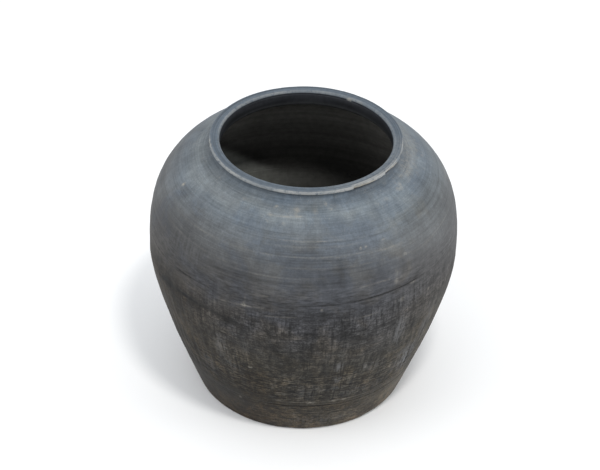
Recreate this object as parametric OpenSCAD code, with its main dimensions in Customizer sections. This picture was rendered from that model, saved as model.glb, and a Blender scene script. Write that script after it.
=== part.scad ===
// Wide-mouthed storage jar of smoke-blackened clay.
// The potter joins a flat pat, stacked wall courses, a neck coil and a lip band, each with a bevelled lap.
// Millimetres, +Z up, origin at the centre of the face that the jar stands on.

/* [Body] */
// Largest outer radius, at the belly
belly_r = 200; // [190:1:212]
// Height of the belly above the ground
belly_z = 206; // [198:1:216]
// Outer radius of the foot at the ground
foot_r = 138.5; // [128:0.5:148]
// Rise of the dome, from the belly to where its curve would close
dome_h = 160.5; // [150:0.5:170]
// How fast the lower wall swells: 1 is a straight cone
lower_swell = 1.33; // [1.2:0.01:1.6]
// How square the dome is: 2 is an ellipse
dome_squareness = 3; // [2.6:0.1:3.4]

/* [Walls] */
// Thickness of the wall, measured across it
wall_t = 11; // [9:0.5:13]
// Thickness of the flat base
base_t = 14; // [12:0.5:17]
// Rounding where the base meets the ground
foot_edge_r = 4; // [2:0.5:6]
// How much higher a lap joint lies on the inside than on the outside
lap_rise = 7; // [4:0.5:9]
// Height of the sealing coil in the inside corner of the base
seal_h = 12; // [9:1:15]

/* [Mouth] */
// Inner radius of the mouth
mouth_r = 110; // [104:0.5:112]
// Outer radius of the lip
lip_r = 124; // [122:0.5:128]
// Height of the lip at its outer edge
lip_h = 4.5; // [4.5:0.5:6]
// Outer radius of the recessed neck under the lip
neck_r = 119.5; // [118:0.5:121]
// Height of the neck between the shoulder and the lip
neck_h = 8; // [6:0.5:10]
// Rounding of the lip's outer edge
lip_outer_round = 3; // [2:0.25:3.25]
// Rounding of the lip's inner edge
lip_inner_round = 3; // [2:0.25:3.25]

/* [Joints] */
// Height of the seam above the foot
foot_seam_z = 57; // [48:1:62]
// Height of the seam above the belly
belly_seam_z = 250; // [244:1:262]

/* [Hidden] */
$fn = 180;

scraped_clay = "#3f3e3b";
belly_clay = "#4c4e50";
smoked_clay = "#5c6268";
worn_clay = "#7b838a";

// Spacing of the points along a curved wall
wall_step = 6;
// Points in a quarter round
round_steps = 5;
// Distance over which a slope is taken
slope_step = 0.01;
// The neck joint lies this far outside the neck
neck_joint_out = 11;
// Curve that blends the neck into the shoulder: its drop and its reach
neck_blend_drop = 4;
neck_blend_reach = 6;

// Outer radius of the wall at height z
function lower_r(z) = belly_r - (belly_r - foot_r)*pow(1 - z/belly_z, lower_swell);
function dome_r(z) = belly_r*pow(1 - pow((z - belly_z)/dome_h, dome_squareness), 1/dome_squareness);
function outer_r(z) = z < belly_z ? lower_r(z) : dome_r(z);
// Height at which the dome has radius r
function dome_z(r) = belly_z + dome_h*pow(1 - pow(r/belly_r, dome_squareness), 1/dome_squareness);
function slope(z) = (outer_r(z + slope_step) - outer_r(z - slope_step))/(2*slope_step);

function outer_point(z) = [outer_r(z), z];
// The point on the inner face straight across the wall from height z
function inner_point(z) =
    let (s = slope(z), run = sqrt(1 + s*s))
    [outer_r(z) - wall_t/run, z + wall_t*s/run];

// Heights from z0 to z1 in equal steps
function heights(z0, z1) =
    let (n = max(2, round((z1 - z0)/wall_step)))
    [for (i = [0:n]) z0 + (z1 - z0)*i/n];
function reversed(points) = [for (i = [len(points) - 1:-1:0]) points[i]];
function outer_run(z0, z1) = [for (z = heights(z0, z1)) outer_point(z)];
function inner_run(z0, z1) = [for (z = heights(z0, z1)) inner_point(z)];
function arc(centre, r, a0, a1) =
    [for (i = [0:round_steps])
        let (a = a0 + (a1 - a0)*i/round_steps)
        centre + r*[cos(a), sin(a)]];
// Curve from p0 to p2, drawn towards p1
function blend_curve(p0, p1, p2) =
    [for (i = [0:round_steps])
        let (t = i/round_steps)
        (1 - t)*(1 - t)*p0 + 2*t*(1 - t)*p1 + t*t*p2];

// Heights of the joints, from the ground up
lower_course_h = (belly_seam_z - foot_seam_z)/3;
neck_joint_z = dome_z(neck_r + neck_joint_out);
shoulder_h = neck_joint_z - belly_seam_z;
ring_joint_z = belly_seam_z + 0.54*shoulder_h;
collar_joint_z = belly_seam_z + 0.83*shoulder_h;
neck_z = dome_z(neck_r);
lip_z = neck_z + neck_h;
rim_z = lip_z + lip_h;

// The inside corner of the base, and the height of the seal up the wall
corner_face = inner_point(base_t);
corner_r = corner_face[0] - slope(base_t)*(corner_face[1] - base_t);
seal_top_z = base_t + seal_h;

// Ring of wall between two joints; each joint rises by its own lap on the inside
module wall_course(z0, z1, lap0, lap1) {
    rotate_extrude()
        polygon(concat(outer_run(z0, z1), reversed(inner_run(z0 + lap0, z1 + lap1))));
}

module base_slab() {
    lean = slope(foot_edge_r);
    edge_inset = foot_edge_r*(sqrt(1 + lean*lean) - lean);
    edge_centre = [foot_r - edge_inset, foot_edge_r];
    color(scraped_clay)
        rotate_extrude()
            polygon(concat(
                [[0, 0]],
                arc(edge_centre, foot_edge_r, -90, -atan(lean)),
                outer_run(foot_edge_r, base_t),
                [[0, base_t]]
            ));
}

// Concave fillet that seals the corner between the base and the foot course
module base_luting_coil() {
    wall_side = concat([[corner_r, base_t]], inner_run(base_t, seal_top_z));
    seal_top = inner_point(seal_top_z);
    seal_toe = [corner_r - seal_h, base_t];
    hollow = blend_curve(seal_top, [corner_r - 1, base_t + 1], seal_toe);
    color(scraped_clay)
        rotate_extrude()
            polygon(concat(wall_side, [for (i = [1:len(hollow) - 1]) hollow[i]]));
}

module foot_course() {
    inside = concat(
        [[corner_r, base_t]],
        inner_run(base_t, seal_top_z),
        [for (z = heights(seal_top_z, foot_seam_z + lap_rise)) if (z > seal_top_z) inner_point(z)]
    );
    color(scraped_clay)
        rotate_extrude()
            polygon(concat(outer_run(base_t, foot_seam_z), reversed(inside)));
}

module lower_wall_course(i) {
    z0 = foot_seam_z + i*lower_course_h;
    wall_course(z0, z0 + lower_course_h, lap_rise, lap_rise);
}

module lower_wall_course_1() color(scraped_clay) lower_wall_course(0);
module lower_wall_course_2() color(scraped_clay) lower_wall_course(1);
module lower_wall_course_3() color(belly_clay) lower_wall_course(2);

module shoulder_course_1() color(belly_clay) wall_course(belly_seam_z, ring_joint_z, lap_rise, lap_rise);
module shoulder_course_2() color(smoked_clay) wall_course(ring_joint_z, collar_joint_z, lap_rise, lap_rise);
module shoulder_course_3() color(smoked_clay) wall_course(collar_joint_z, neck_joint_z, lap_rise, 0);

// Turned coil: square joint below, hollow blend outside, upright face inside
module neck_coil() {
    inner_turn = inner_point(neck_z);
    outside = concat(
        [outer_point(neck_joint_z)],
        reversed(blend_curve(
            [neck_r, neck_z + neck_blend_drop],
            [neck_r, neck_z],
            outer_point(dome_z(neck_r + neck_blend_reach))
        )),
        [[neck_r, lip_z]]
    );
    inside = concat(
        [[mouth_r, lip_z]],
        blend_curve([mouth_r, neck_z], [mouth_r, inner_turn[1] + 1], inner_turn),
        [inner_point(neck_joint_z)]
    );
    color(smoked_clay)
        rotate_extrude()
            polygon(concat(outside, inside));
}

// Flat-topped lip with both top edges rounded, overhanging the neck outside
module rim_band() {
    under_round = 1;
    color(worn_clay)
        rotate_extrude()
            polygon(concat(
                [[mouth_r, lip_z]],
                arc([lip_r - under_round, lip_z + under_round], under_round, -90, 0),
                arc([lip_r - lip_outer_round, rim_z - lip_outer_round], lip_outer_round, 0, 90),
                arc([mouth_r + lip_inner_round, rim_z - lip_inner_round], lip_inner_round, 90, 180)
            ));
}

base_slab();
base_luting_coil();
foot_course();
lower_wall_course_1();
lower_wall_course_2();
lower_wall_course_3();
shoulder_course_1();
shoulder_course_2();
shoulder_course_3();
neck_coil();
rim_band();
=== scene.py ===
"""A smoke-blackened clay storage jar, dressed over its CAD frame.

Lengths on the jar are millimetres, and become metres when a mesh is made. Azimuth runs round the jar
from its front (-Y), positive towards +X. Arc is the distance up the outside of the wall from the ground.
"""
import math

import bpy
import numpy as np
from mathutils import Matrix, Vector


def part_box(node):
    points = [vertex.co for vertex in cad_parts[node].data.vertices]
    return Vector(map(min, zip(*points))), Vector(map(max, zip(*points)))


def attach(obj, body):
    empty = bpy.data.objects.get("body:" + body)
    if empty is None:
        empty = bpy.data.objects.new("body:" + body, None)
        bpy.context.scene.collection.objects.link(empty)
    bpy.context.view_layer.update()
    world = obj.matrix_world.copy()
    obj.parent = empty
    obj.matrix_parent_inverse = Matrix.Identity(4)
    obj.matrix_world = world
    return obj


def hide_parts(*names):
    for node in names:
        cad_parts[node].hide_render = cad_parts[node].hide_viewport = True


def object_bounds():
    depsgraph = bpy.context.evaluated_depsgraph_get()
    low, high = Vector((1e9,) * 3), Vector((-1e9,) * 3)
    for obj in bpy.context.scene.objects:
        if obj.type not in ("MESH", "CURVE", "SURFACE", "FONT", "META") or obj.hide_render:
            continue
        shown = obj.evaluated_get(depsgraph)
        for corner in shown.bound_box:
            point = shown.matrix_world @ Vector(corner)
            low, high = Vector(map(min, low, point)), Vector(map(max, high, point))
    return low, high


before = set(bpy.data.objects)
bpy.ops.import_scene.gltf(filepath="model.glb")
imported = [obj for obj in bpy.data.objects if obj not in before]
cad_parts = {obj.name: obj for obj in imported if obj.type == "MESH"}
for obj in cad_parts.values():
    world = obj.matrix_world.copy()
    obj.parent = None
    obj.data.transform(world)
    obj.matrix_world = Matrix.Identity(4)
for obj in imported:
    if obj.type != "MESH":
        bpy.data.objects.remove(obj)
cad_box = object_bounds()

MM = 0.001
TURN = 2 * math.pi


# ---- sizes, from the frame


def bottom_mm(node):
    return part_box(node)[0].z / MM


def top_mm(node):
    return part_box(node)[1].z / MM


# The wall's shape, in the CAD source's terms.
BELLY_R = 0.5 * (cad_box[1][1] - cad_box[0][1]) / MM
BELLY_Z = 206.0
FOOT_R = 138.5
DOME_H = 160.5
LOWER_SWELL = 1.33
DOME_SQUARENESS = 3.0
WALL_T = 11.0
FOOT_EDGE_R = 4.0
SEAL_H = 12.0
MOUTH_R = 110.0
NECK_R = 119.5
NECK_REACH = 6.0
NECK_DROP = 4.0
LIP_R = 0.5 * (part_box("rim_band")[1].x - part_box("rim_band")[0].x) / MM
UNDER_ROUND = 1.0
OUTER_ROUND = 3.0
INNER_ROUND = 3.0
# How much further up the wall a lap joint lies on the inside, along its arc.
LAP_RISE = 8.0

BASE_TOP = top_mm("base_slab")
LIP_Z = bottom_mm("rim_band")
RIM_Z = top_mm("rim_band")
COURSES = ["foot_course"]
COURSES += [f"{part}_course_{i}" for part in ("lower_wall", "shoulder") for i in (1, 2, 3)]
# Joint i lies below course i. These two show outside.
FOOT_SEAM = COURSES.index("lower_wall_course_1")
BELLY_SEAM = COURSES.index("shoulder_course_1")
NECK_JOINT_Z = top_mm(COURSES[-1])


# ---- the wall's curve


def outer_radius(z):
    """The jar's outer radius at height z, from the ground to the neck."""
    below = BELLY_R - (BELLY_R - FOOT_R) * np.clip(1 - z / BELLY_Z, 0, None) ** LOWER_SWELL
    rise = np.clip((z - BELLY_Z) / DOME_H, 0, 1)
    above = BELLY_R * (1 - rise**DOME_SQUARENESS) ** (1 / DOME_SQUARENESS)
    return np.where(z < BELLY_Z, below, above)


def dome_height(r):
    return BELLY_Z + DOME_H * (1 - (r / BELLY_R) ** DOME_SQUARENESS) ** (1 / DOME_SQUARENESS)


NECK_Z = dome_height(NECK_R)
TABLE_Z = np.linspace(0, NECK_Z + 1, 6000)
TABLE_R = outer_radius(TABLE_Z)
TABLE_ARC = np.concatenate([[0], np.cumsum(np.hypot(np.diff(TABLE_Z), np.diff(TABLE_R)))])
TABLE_DZ = np.gradient(TABLE_Z, TABLE_ARC)
TABLE_DR = np.gradient(TABLE_R, TABLE_ARC)


def arc_at(z):
    return float(np.interp(z, TABLE_Z, TABLE_ARC))


def wall_at(arc):
    """Radius, height and the outward normal of the wall at an arc."""
    r = np.interp(arc, TABLE_ARC, TABLE_R)
    z = np.interp(arc, TABLE_ARC, TABLE_Z)
    return r, z, np.interp(arc, TABLE_ARC, TABLE_DZ), -np.interp(arc, TABLE_ARC, TABLE_DR)


NECK_JOINT = arc_at(NECK_JOINT_Z)


# ---- noise and masks on the unrolled wall


def smooth(low, high, x):
    """0 below low, 1 above high, and a smooth step between."""
    t = np.clip((x - low) / (high - low), 0, 1)
    return t * t * (3 - 2 * t)


def bump(x, half_width):
    return np.exp(-((x / half_width) ** 2))


def spline_weights(t):
    """The four weights of a uniform cubic B-spline."""
    return (
        (1 - t) ** 3 / 6,
        (3 * t**3 - 6 * t**2 + 4) / 6,
        (-3 * t**3 + 3 * t**2 + 3 * t + 1) / 6,
        t**3 / 6,
    )


# The arcs that the noise covers, from below the ground line, and what brings it up to about -1 to 1.
NOISE_REACH = 700
NOISE_BELOW = 60
NOISE_GAIN = 1.9


def noise(seed, azimuth, arc, cells, tall):
    """Smooth noise of about -1 to 1 that closes round the jar: cells patches round, each tall mm high."""
    lattice = np.random.default_rng(seed).uniform(-1, 1, (int(NOISE_REACH / tall) + 8, cells))
    u = azimuth / TURN * cells
    v = arc / tall + NOISE_BELOW / tall
    iu, iv = np.floor(u).astype(int), np.floor(v).astype(int)
    across, up = spline_weights(u - iu), spline_weights(v - iv)
    total = 0
    for j in range(4):
        row = (iv + j) % lattice.shape[0]
        for i in range(4):
            total = total + up[j] * across[i] * lattice[row, (iu + i) % cells]
    return NOISE_GAIN * total


def noise_round(seed, azimuth, cells):
    """Noise that varies only round the jar."""
    return noise(seed, azimuth, 0 * azimuth, cells, 50)


def window(azimuth, start, end, soft=6.0):
    """1 between two azimuths in degrees, and a soft end at each."""
    degrees = np.degrees((azimuth + math.pi) % TURN - math.pi)
    return smooth(start - soft, start, degrees) * (1 - smooth(end, end + soft, degrees))


def across_mm(azimuth, degrees, radius):
    """Distance round the wall from a given azimuth."""
    away = (azimuth - math.radians(degrees) + math.pi) % TURN - math.pi
    return away * radius


def degrees_past(azimuth, degrees):
    """How many degrees an azimuth lies past a given one."""
    return across_mm(azimuth, degrees, 180 / math.pi)


# ---- marks that the jar carries

# Scratches and ring lines: start and end azimuth, arc at each end, half width, strength.
PALE_LINES = [
    (-60, -14, 323.5, 323.2, 0.7, 0.4), (-14, 22, 323.2, 323, 0.7, 0.65), (14, 40, 322, 318.5, 0.9, 0.4),
    (-16, 8, 342.5, 342.8, 0.7, 0.5), (8, 30, 342.8, 340.5, 0.8, 0.3), (-14, 22, 335.3, 335, 0.7, 0.5),
    (-6, 30, 310, 308, 0.8, 0.35), (-24, 6, 296.6, 296.8, 0.8, 0.3), (33, 44, 303, 302, 0.9, 0.2),
    (-17, -2, 371.5, 374, 1, 1), (22, 33, 279.5, 279.8, 0.9, 0.6), (-29, -14, 247, 251.5, 0.9, 0.5),
    (-12, -2, 241, 242.5, 0.8, 0.45), (16, 28, 236, 236.5, 0.9, 0.5), (-8, 45, 72.5, 69.5, 0.7, 0.65),
    (-20, -12, 267, 268.5, 0.8, 0.3), (-60, -30, 305, 301, 0.8, 0.2), (48, 74, 300, 306, 0.8, 0.3),
    (95, 150, 322, 325, 0.9, 0.5), (-160, -110, 70, 72.5, 1, 0.6), (120, 170, 246, 243, 1, 0.5),
]
DARK_LINES = [
    (-64, -47, 218.5, 224, 2.4, 1), (-50, -24, 225.5, 221, 2.2, 0.9), (-3, 8, 329.5, 330, 1.1, 0.6),
    (8, 16, 319, 318.5, 1, 0.6), (10, 20, 307, 306, 1.2, 0.6), (8, 36, 341, 339.5, 1, 0.6),
    (-36, -22, 288.5, 290.5, 1.4, 0.8), (-21, 12, 289.5, 289.8, 1.2, 0.7),
    (-35, -27, 328.5, 328, 1.4, 0.4), (-66, -49, 341, 342, 1.4, 0.4), (-34, -25, 256, 249.5, 1.6, 0.7),
    (-19, 10, 245.5, 247, 2, 0.7), (-18, 20, 262, 262.5, 1.2, 0.6), (-42, -8, 236.5, 238.5, 1.3, 0.4),
    (14, 42, 231, 238, 1.3, 0.4), (4, 26, 42, 41, 1.4, 0.4), (60, 110, 338, 341, 1, 0.5),
    (-140, -95, 292, 289, 1.2, 0.5), (150, 178, 250, 247, 1.4, 0.5),
]
# Specks and scuffs: azimuth, arc, half width round the jar, half height, strength.
PALE_SPOTS = [
    (-3.5, 383.5, 4, 3.4, 0.9), (-14.8, 385, 2, 2, 0.7), (-32.7, 382, 4.5, 3, 0.4),
    (-17, 372.5, 2.6, 2.4, 0.45), (-17, 363.5, 2.4, 2.4, 0.4), (-9.5, 363.5, 2.4, 2.4, 0.4),
    (-4, 376.5, 3, 3, 0.4), (12, 391.5, 2, 2.6, 0.8), (14.1, 383.5, 2.8, 2.4, 0.7),
    (6, 382.5, 2.6, 3, 0.45), (56.5, 377, 6, 2.2, 0.7), (59.5, 381, 2.6, 2.6, 0.6),
    (45, 376, 5, 2.6, 0.35), (-69, 348.5, 2.2, 2.6, 1.6), (23.3, 328.5, 1.2, 1.2, 1.3),
    (25.6, 329, 1.1, 0.9, 0.7), (33.8, 331.5, 2.8, 1, 0.7), (31.5, 320.5, 4, 1.8, 0.35),
    (42, 303.5, 2.6, 2.2, 0.5), (36.3, 274.5, 4, 3, 0.5), (36.6, 284, 2.2, 5, 0.25),
    (-20.4, 250, 3.6, 2.6, 0.5), (-20.4, 259, 1.3, 7, 0.3), (-32.6, 240.5, 1.6, 5.5, 0.35),
    (7.3, 254.5, 1.6, 1.8, 0.9), (44, 261, 4, 1.4, 0.7), (38.5, 244.5, 5, 3, 0.35),
    (52.5, 235, 2.6, 2, 0.5), (-19.6, 139.5, 3, 1.6, 1.2), (-28.2, 57, 1.6, 2.4, 0.9),
    (27, 138, 2.6, 5, 0.3), (54, 48, 30, 34, 0.17), (84, 388, 46, 13, 0.36),
    (112, 386, 44, 15, 0.36), (74, 383, 16, 8, 0.25), (10.5, 101, 2.6, 3, 0.6),
    (5.5, 71, 4, 2.2, 0.8), (16, 70.5, 3.6, 1.8, 0.7), (21, 70, 3, 1.6, 0.7),
    (140, 330, 2, 2, 0.9), (-150, 376, 3.2, 2.4, 0.8), (100, 280, 3, 1.8, 0.7),
    (170, 150, 2.4, 1.6, 0.8), (-100, 250, 3, 2, 0.7),
]
# Soft smears, pale and dark, the dark ones partly painted shade: azimuth, arc, half width round the jar,
# half height, strength.
DUST_SMEARS = [
    (15.4, 149, 5.5, 9, 1.1), (15.8, 121, 5, 8, 0.6), (14.8, 100, 6, 6, 0.6),
    (27, 141, 4.5, 6, 0.5), (-31.5, 165, 9, 22, 0.6), (-41, 110, 9, 16, 0.4),
    (39.5, 190, 10, 26, 0.9), (52, 108, 11, 26, 1.2), (57, 165, 12, 34, 0.7),
    (48, 120, 18, 24, 0.9), (3, 98, 14, 16, 0.35), (39, 244, 8, 5, 0.6),
    (30, 237, 36, 8, 0.2), (48, 250, 22, 12, 0.35), (62, 300, 16, 14, 0.5),
    (44, 237, 24, 8, 0.35), (27, 237, 15, 7, 0.35), (30, 134, 14, 10, 0.3),
    (28, 86, 34, 10, 0.35), (-28, 131, 12, 12, 0.4), (12, 24, 44, 9, 0.4),
    (-44, 372, 40, 6, 0.5), (-50, 291, 28, 12, 0.5), (-120, 170, 10, 30, 0.6),
    (150, 190, 12, 30, 0.6), (100, 120, 10, 24, 0.5),
]
# Dark smears, some of them painted shade: low on the left side, and just under the lip in front.
DARK_SMEARS_AND_SHADE = [
    (-58, 222, 15, 6.5, 1.5), (-44, 224, 20, 4.5, 0.9), (-31.5, 223, 13, 6, 1.1),
    (-25, 219, 10, 4, 0.9), (8, 246, 6, 6, 0.6), (-13, 258, 14, 6, 0.35),
    (-12, 82, 10, 10, 0.45), (-24, 96, 9, 7, 0.3), (11, 145, 7, 26, 0.4),
    (11, 105, 7, 18, 0.4), (-47.5, 128, 4, 34, 0.35), (-52, 60, 34, 44, 0.8),
    (-33, 66, 22, 34, 0.8), (-54, 215, 30, 60, 0.42), (-32, 22, 24, 10, 0.45),
    (19, 38, 5, 5, 0.3), (32, 112, 16, 8, 0.3), (14.5, 305, 5, 22, 0.45),
    (28, 282, 24, 12, 0.22), (-6, 256, 34, 8, 0.2), (40.5, 288, 7, 9, 0.5),
    (45.7, 266.5, 5, 2.6, 1), (58.3, 243.5, 5, 3.4, 1), (47.5, 213, 14, 10, 0.35),
    (-37.5, 339, 12, 4, 0.3), (-6, 391.5, 42, 4.5, 0.38), (-28, 208, 32, 9, 0.4),
    (-28, 246, 34, 13, 0.22), (4, 385, 12, 6, 0.18), (52, 343, 14, 8, 0.25),
    (-28, 176, 22, 9, 0.15), (-64, 346, 12, 8, 0.4), (62, 340, 20, 10, 0.3),
    (-28, 284, 16, 7, 0.25), (130, 300, 26, 16, 0.35), (-130, 330, 22, 12, 0.35),
]
# Bites out of the lip's outer edge: where each starts abruptly, where it has died away, and its depth.
LIP_CHIPS = [
    (29.5, 48, 2.4),
    (54, 69, 2.2),
    (73, 81, 1.8),
    (83, 94, 1.4),
    (-83, -79, 0.8),
    (-26, -21, 0.4),
    (124, 136, 1.4), (-152, -144, 1),
]


def rows_near(arc, at, reach):
    """The rings that pass within reach of an arc."""
    return np.flatnonzero((np.abs(arc - at) < reach).any(axis=1))


def line_marks(lines, azimuth, arc):
    """How strongly the listed lines show, each broken up as a worn scratch is."""
    total = 0 * arc
    for i, (start, end, arc0, arc1, half, strength) in enumerate(lines):
        near = rows_near(arc, 0.5 * (arc0 + arc1), 0.5 * abs(arc1 - arc0) + 3 * half + 1)
        if not len(near):
            continue
        azimuths, arcs = azimuth[near], arc[near]
        along = degrees_past(azimuths, 0.5 * (start + end)) / (end - start) + 0.5
        waver = 0.5 * noise_round(400 + i, azimuths, 60)
        path = arc0 + (arc1 - arc0) * np.clip(along, 0, 1) + waver
        broken = 0.65 + 0.5 * noise(430 + i, azimuths, arcs, 130, 40)
        ends = window(azimuths, start, end, 0.12 * (end - start))
        total[near] += strength * ends * np.clip(broken, 0, 1) * bump(arcs - path, half)
    return total


def spot_marks(spots, azimuth, arc, radius, ragged):
    """How strongly the listed spots show, with an edge that noise frays."""
    total = 0 * arc
    radius = radius + total
    for degrees, at, half_across, half_up, strength in spots:
        near = rows_near(arc, at, 2.2 * half_up)
        if not len(near):
            continue
        azimuths, arcs = azimuth[near], arc[near]
        away = np.hypot(across_mm(azimuths, degrees, radius[near]) / half_across, (arcs - at) / half_up)
        frayed = 1 + ragged * noise(470, azimuths, arcs, 380, 3)
        total[near] += strength * np.exp(-((away * frayed) ** 2) ** 1.4)
    return total


def seam_opening(seam, azimuth):
    """How far a luted joint has opened, in mm, round the jar."""
    worn = np.clip(noise_round(500 + seam, azimuth, 17), 0, 1)
    hair = 0.12 + 0.08 * noise_round(520 + seam, azimuth, 90)
    if seam == FOOT_SEAM:
        return hair + 0.3 * worn + 0.9 * window(azimuth, -9, 11, 7) + 0.3 * window(azimuth, 12, 60, 12)
    if seam == BELLY_SEAM:
        gashes = window(azimuth, 25, 43, 8) + 0.35 * window(azimuth, 2, 18, 6)
        gashes = gashes + 0.45 * window(azimuth, -50, -40, 5)
        return hair + 0.35 * worn * (1 - window(azimuth, -60, 62, 8)) + 0.95 * gashes
    if seam > BELLY_SEAM:
        return 0.5 * hair + 0.12 * worn
    return 0.3 * hair


def seam_arc(seam, base, azimuth):
    """Where a joint runs: a hand-laid course never sits quite level."""
    if seam in (0, len(COURSES)):
        return base + 0 * azimuth
    tilt = 4.5 * np.sin(azimuth) if seam == BELLY_SEAM else 0.8 * np.sin(azimuth + seam)
    return base + tilt + 0.8 * noise_round(540 + seam, azimuth, 9)


# ---- relief, in mm along the wall's normal

PIT_COUNT = 110


def pits(azimuth, arc, radius):
    """Small pits where grit and bubbles have come away."""
    draw = np.random.default_rng(77)
    total = 0 * arc
    radius = radius + total
    for _ in range(PIT_COUNT):
        degrees, at = draw.uniform(-180, 180), draw.uniform(8, 385)
        size, depth = draw.uniform(1.0, 2.2), draw.uniform(0.25, 0.7)
        near = rows_near(arc, at, 3 * size)
        if len(near):
            away = np.hypot(across_mm(azimuth[near], degrees, radius[near]), arc[near] - at) / size
            total[near] += depth * np.exp(-(away**2))
    return total


def brushed(azimuth, arc):
    """How much of a patch of the lower wall was dressed with upright strokes."""
    return 0.25 + 0.75 * smooth(-0.35, 0.35, noise(20, azimuth, arc, 15, 55))


def scraped(azimuth, arc):
    """1 on the scraped lower wall, 0 on the turned upper wall and on the foot."""
    edge = 14 * noise(3, azimuth, arc, 26, 60)
    return (1 - smooth(214, 262, arc + edge)) * smooth(62, 92, arc + 0.6 * edge)


def outer_relief(azimuth, arc, radius):
    """The outside's relief, without its seams. Each noise is multiplied by its height in mm."""
    low = scraped(azimuth, arc)
    wobble = 0.55 * noise(10, azimuth, arc, 5, 130) + 0.3 * noise(11, azimuth, arc, 12, 60)
    dents = 0.22 * noise(12, azimuth, arc, 28, 36) + 0.1 * noise(21, azimuth, arc, 110, 9)
    facets = 0.24 * (1 - 2 * np.abs(noise(13, azimuth, arc, 210, 42)))
    strokes = 0.2 * noise(14, azimuth, arc, 330, 26) + 0.1 * noise(15, azimuth, arc, 480, 12)
    ticks = 0.14 * noise(16, azimuth, arc, 120, 3.2) * (1 - smooth(120, 170, arc)) * smooth(60, 75, arc)
    rings = 0.1 * noise(17, azimuth, arc, 4, 3.4) + 0.16 * noise(18, azimuth, arc, 3, 8)
    fine = 0.05 * noise(19, azimuth, arc, 420, 3.2)
    pale = line_marks(PALE_LINES, azimuth, arc)
    dark = line_marks(DARK_LINES, azimuth, arc)
    return (
        wobble
        + dents * (0.5 + low)
        + low * brushed(azimuth, arc) * (facets + strokes)
        + ticks
        + (1 - low) * rings
        + fine
        + 0.14 * pale
        - 0.4 * dark
        - pits(azimuth, arc, radius)
    )


def inner_relief(azimuth, arc):
    """Finger ridges and pats on the inside, positive towards the jar's axis."""
    ridges = 0.55 * noise(30, azimuth, arc, 5, 17) + 0.15 * noise(31, azimuth, arc, 4, 5)
    pats = 0.5 * noise(32, azimuth, arc, 30, 38)
    return ridges + pats + 0.06 * noise(33, azimuth, arc, 300, 5)


# ---- meshes of revolution

SEGMENTS = 1024
AROUND = np.arange(SEGMENTS) / SEGMENTS * TURN
# The material reads each point's place on a cylinder of this radius, with its arc for a height.
UNROLLED_R = 200.0
FACE_FIELDS = ("dust", "inside", "lip", "pale", "soot_and_shade", "worn")


class Rows:
    """Rings of points up a wall: radius and height for every azimuth, and what the material reads."""

    def __init__(self, r, z, arc, **fields):
        shape = np.broadcast(r, z, arc).shape
        self.r, self.z, self.arc = (np.broadcast_to(a, shape).copy() for a in (r, z, arc))
        self.fields = {n: np.broadcast_to(fields.get(n, 0.0), shape).copy() for n in FACE_FIELDS}


def joined(parts):
    """Rows one after another."""
    made = Rows(*(np.concatenate([getattr(p, n) for p in parts]) for n in ("r", "z", "arc")))
    made.fields = {n: np.concatenate([p.fields[n] for p in parts]) for n in FACE_FIELDS}
    return made


def joint_face(from_rows, to_rows, count=2):
    """The hidden face of a joint, straight across the wall from one row's last ring to another's first."""
    share = ((np.arange(count) + 1) / (count + 1))[:, None]
    across = [
        getattr(from_rows, n)[-1] * (1 - share) + getattr(to_rows, n)[0] * share for n in ("r", "z", "arc")
    ]
    made = Rows(*across)
    for n in FACE_FIELDS:
        made.fields[n] = from_rows.fields[n][-1] * (1 - share) + to_rows.fields[n][0] * share
    return made


def closed_ring(outside, inside):
    """A whole ring of wall from its two faces, and the rows where its hidden joint faces start."""
    top = joint_face(outside, inside)
    rows = joined([outside, top, inside, joint_face(inside, outside)])
    upper = len(outside.r) - 1
    lower = upper + len(top.r) + len(inside.r)
    return rows, set(range(upper, upper + 3)) | set(range(lower, lower + 3))


def spaced(length, step, fine=(0.35, 0.8, 1.4, 2.2)):
    """Shares from 0 to 1 along a length, closer together beside both ends."""
    body = np.linspace(fine[-1], length - fine[-1], max(2, round((length - 2 * fine[-1]) / step)))
    ends = np.array(fine[:-1])
    return np.concatenate([[0], ends, body, length - ends[::-1], [length]]) / length


def new_mesh(name, points, loops, sizes):
    """A mesh from points in mm, the corners of its faces one after another, and each face's size."""
    mesh = bpy.data.meshes.new(name)
    mesh.vertices.add(len(points))
    mesh.vertices.foreach_set("co", (points * MM).astype(np.float32).reshape(-1))
    mesh.loops.add(len(loops))
    mesh.loops.foreach_set("vertex_index", loops.astype(np.int32))
    mesh.polygons.add(len(sizes))
    mesh.polygons.foreach_set("loop_start", (np.cumsum(sizes) - sizes).astype(np.int32))
    mesh.update(calc_edges=True)
    return mesh


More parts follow.
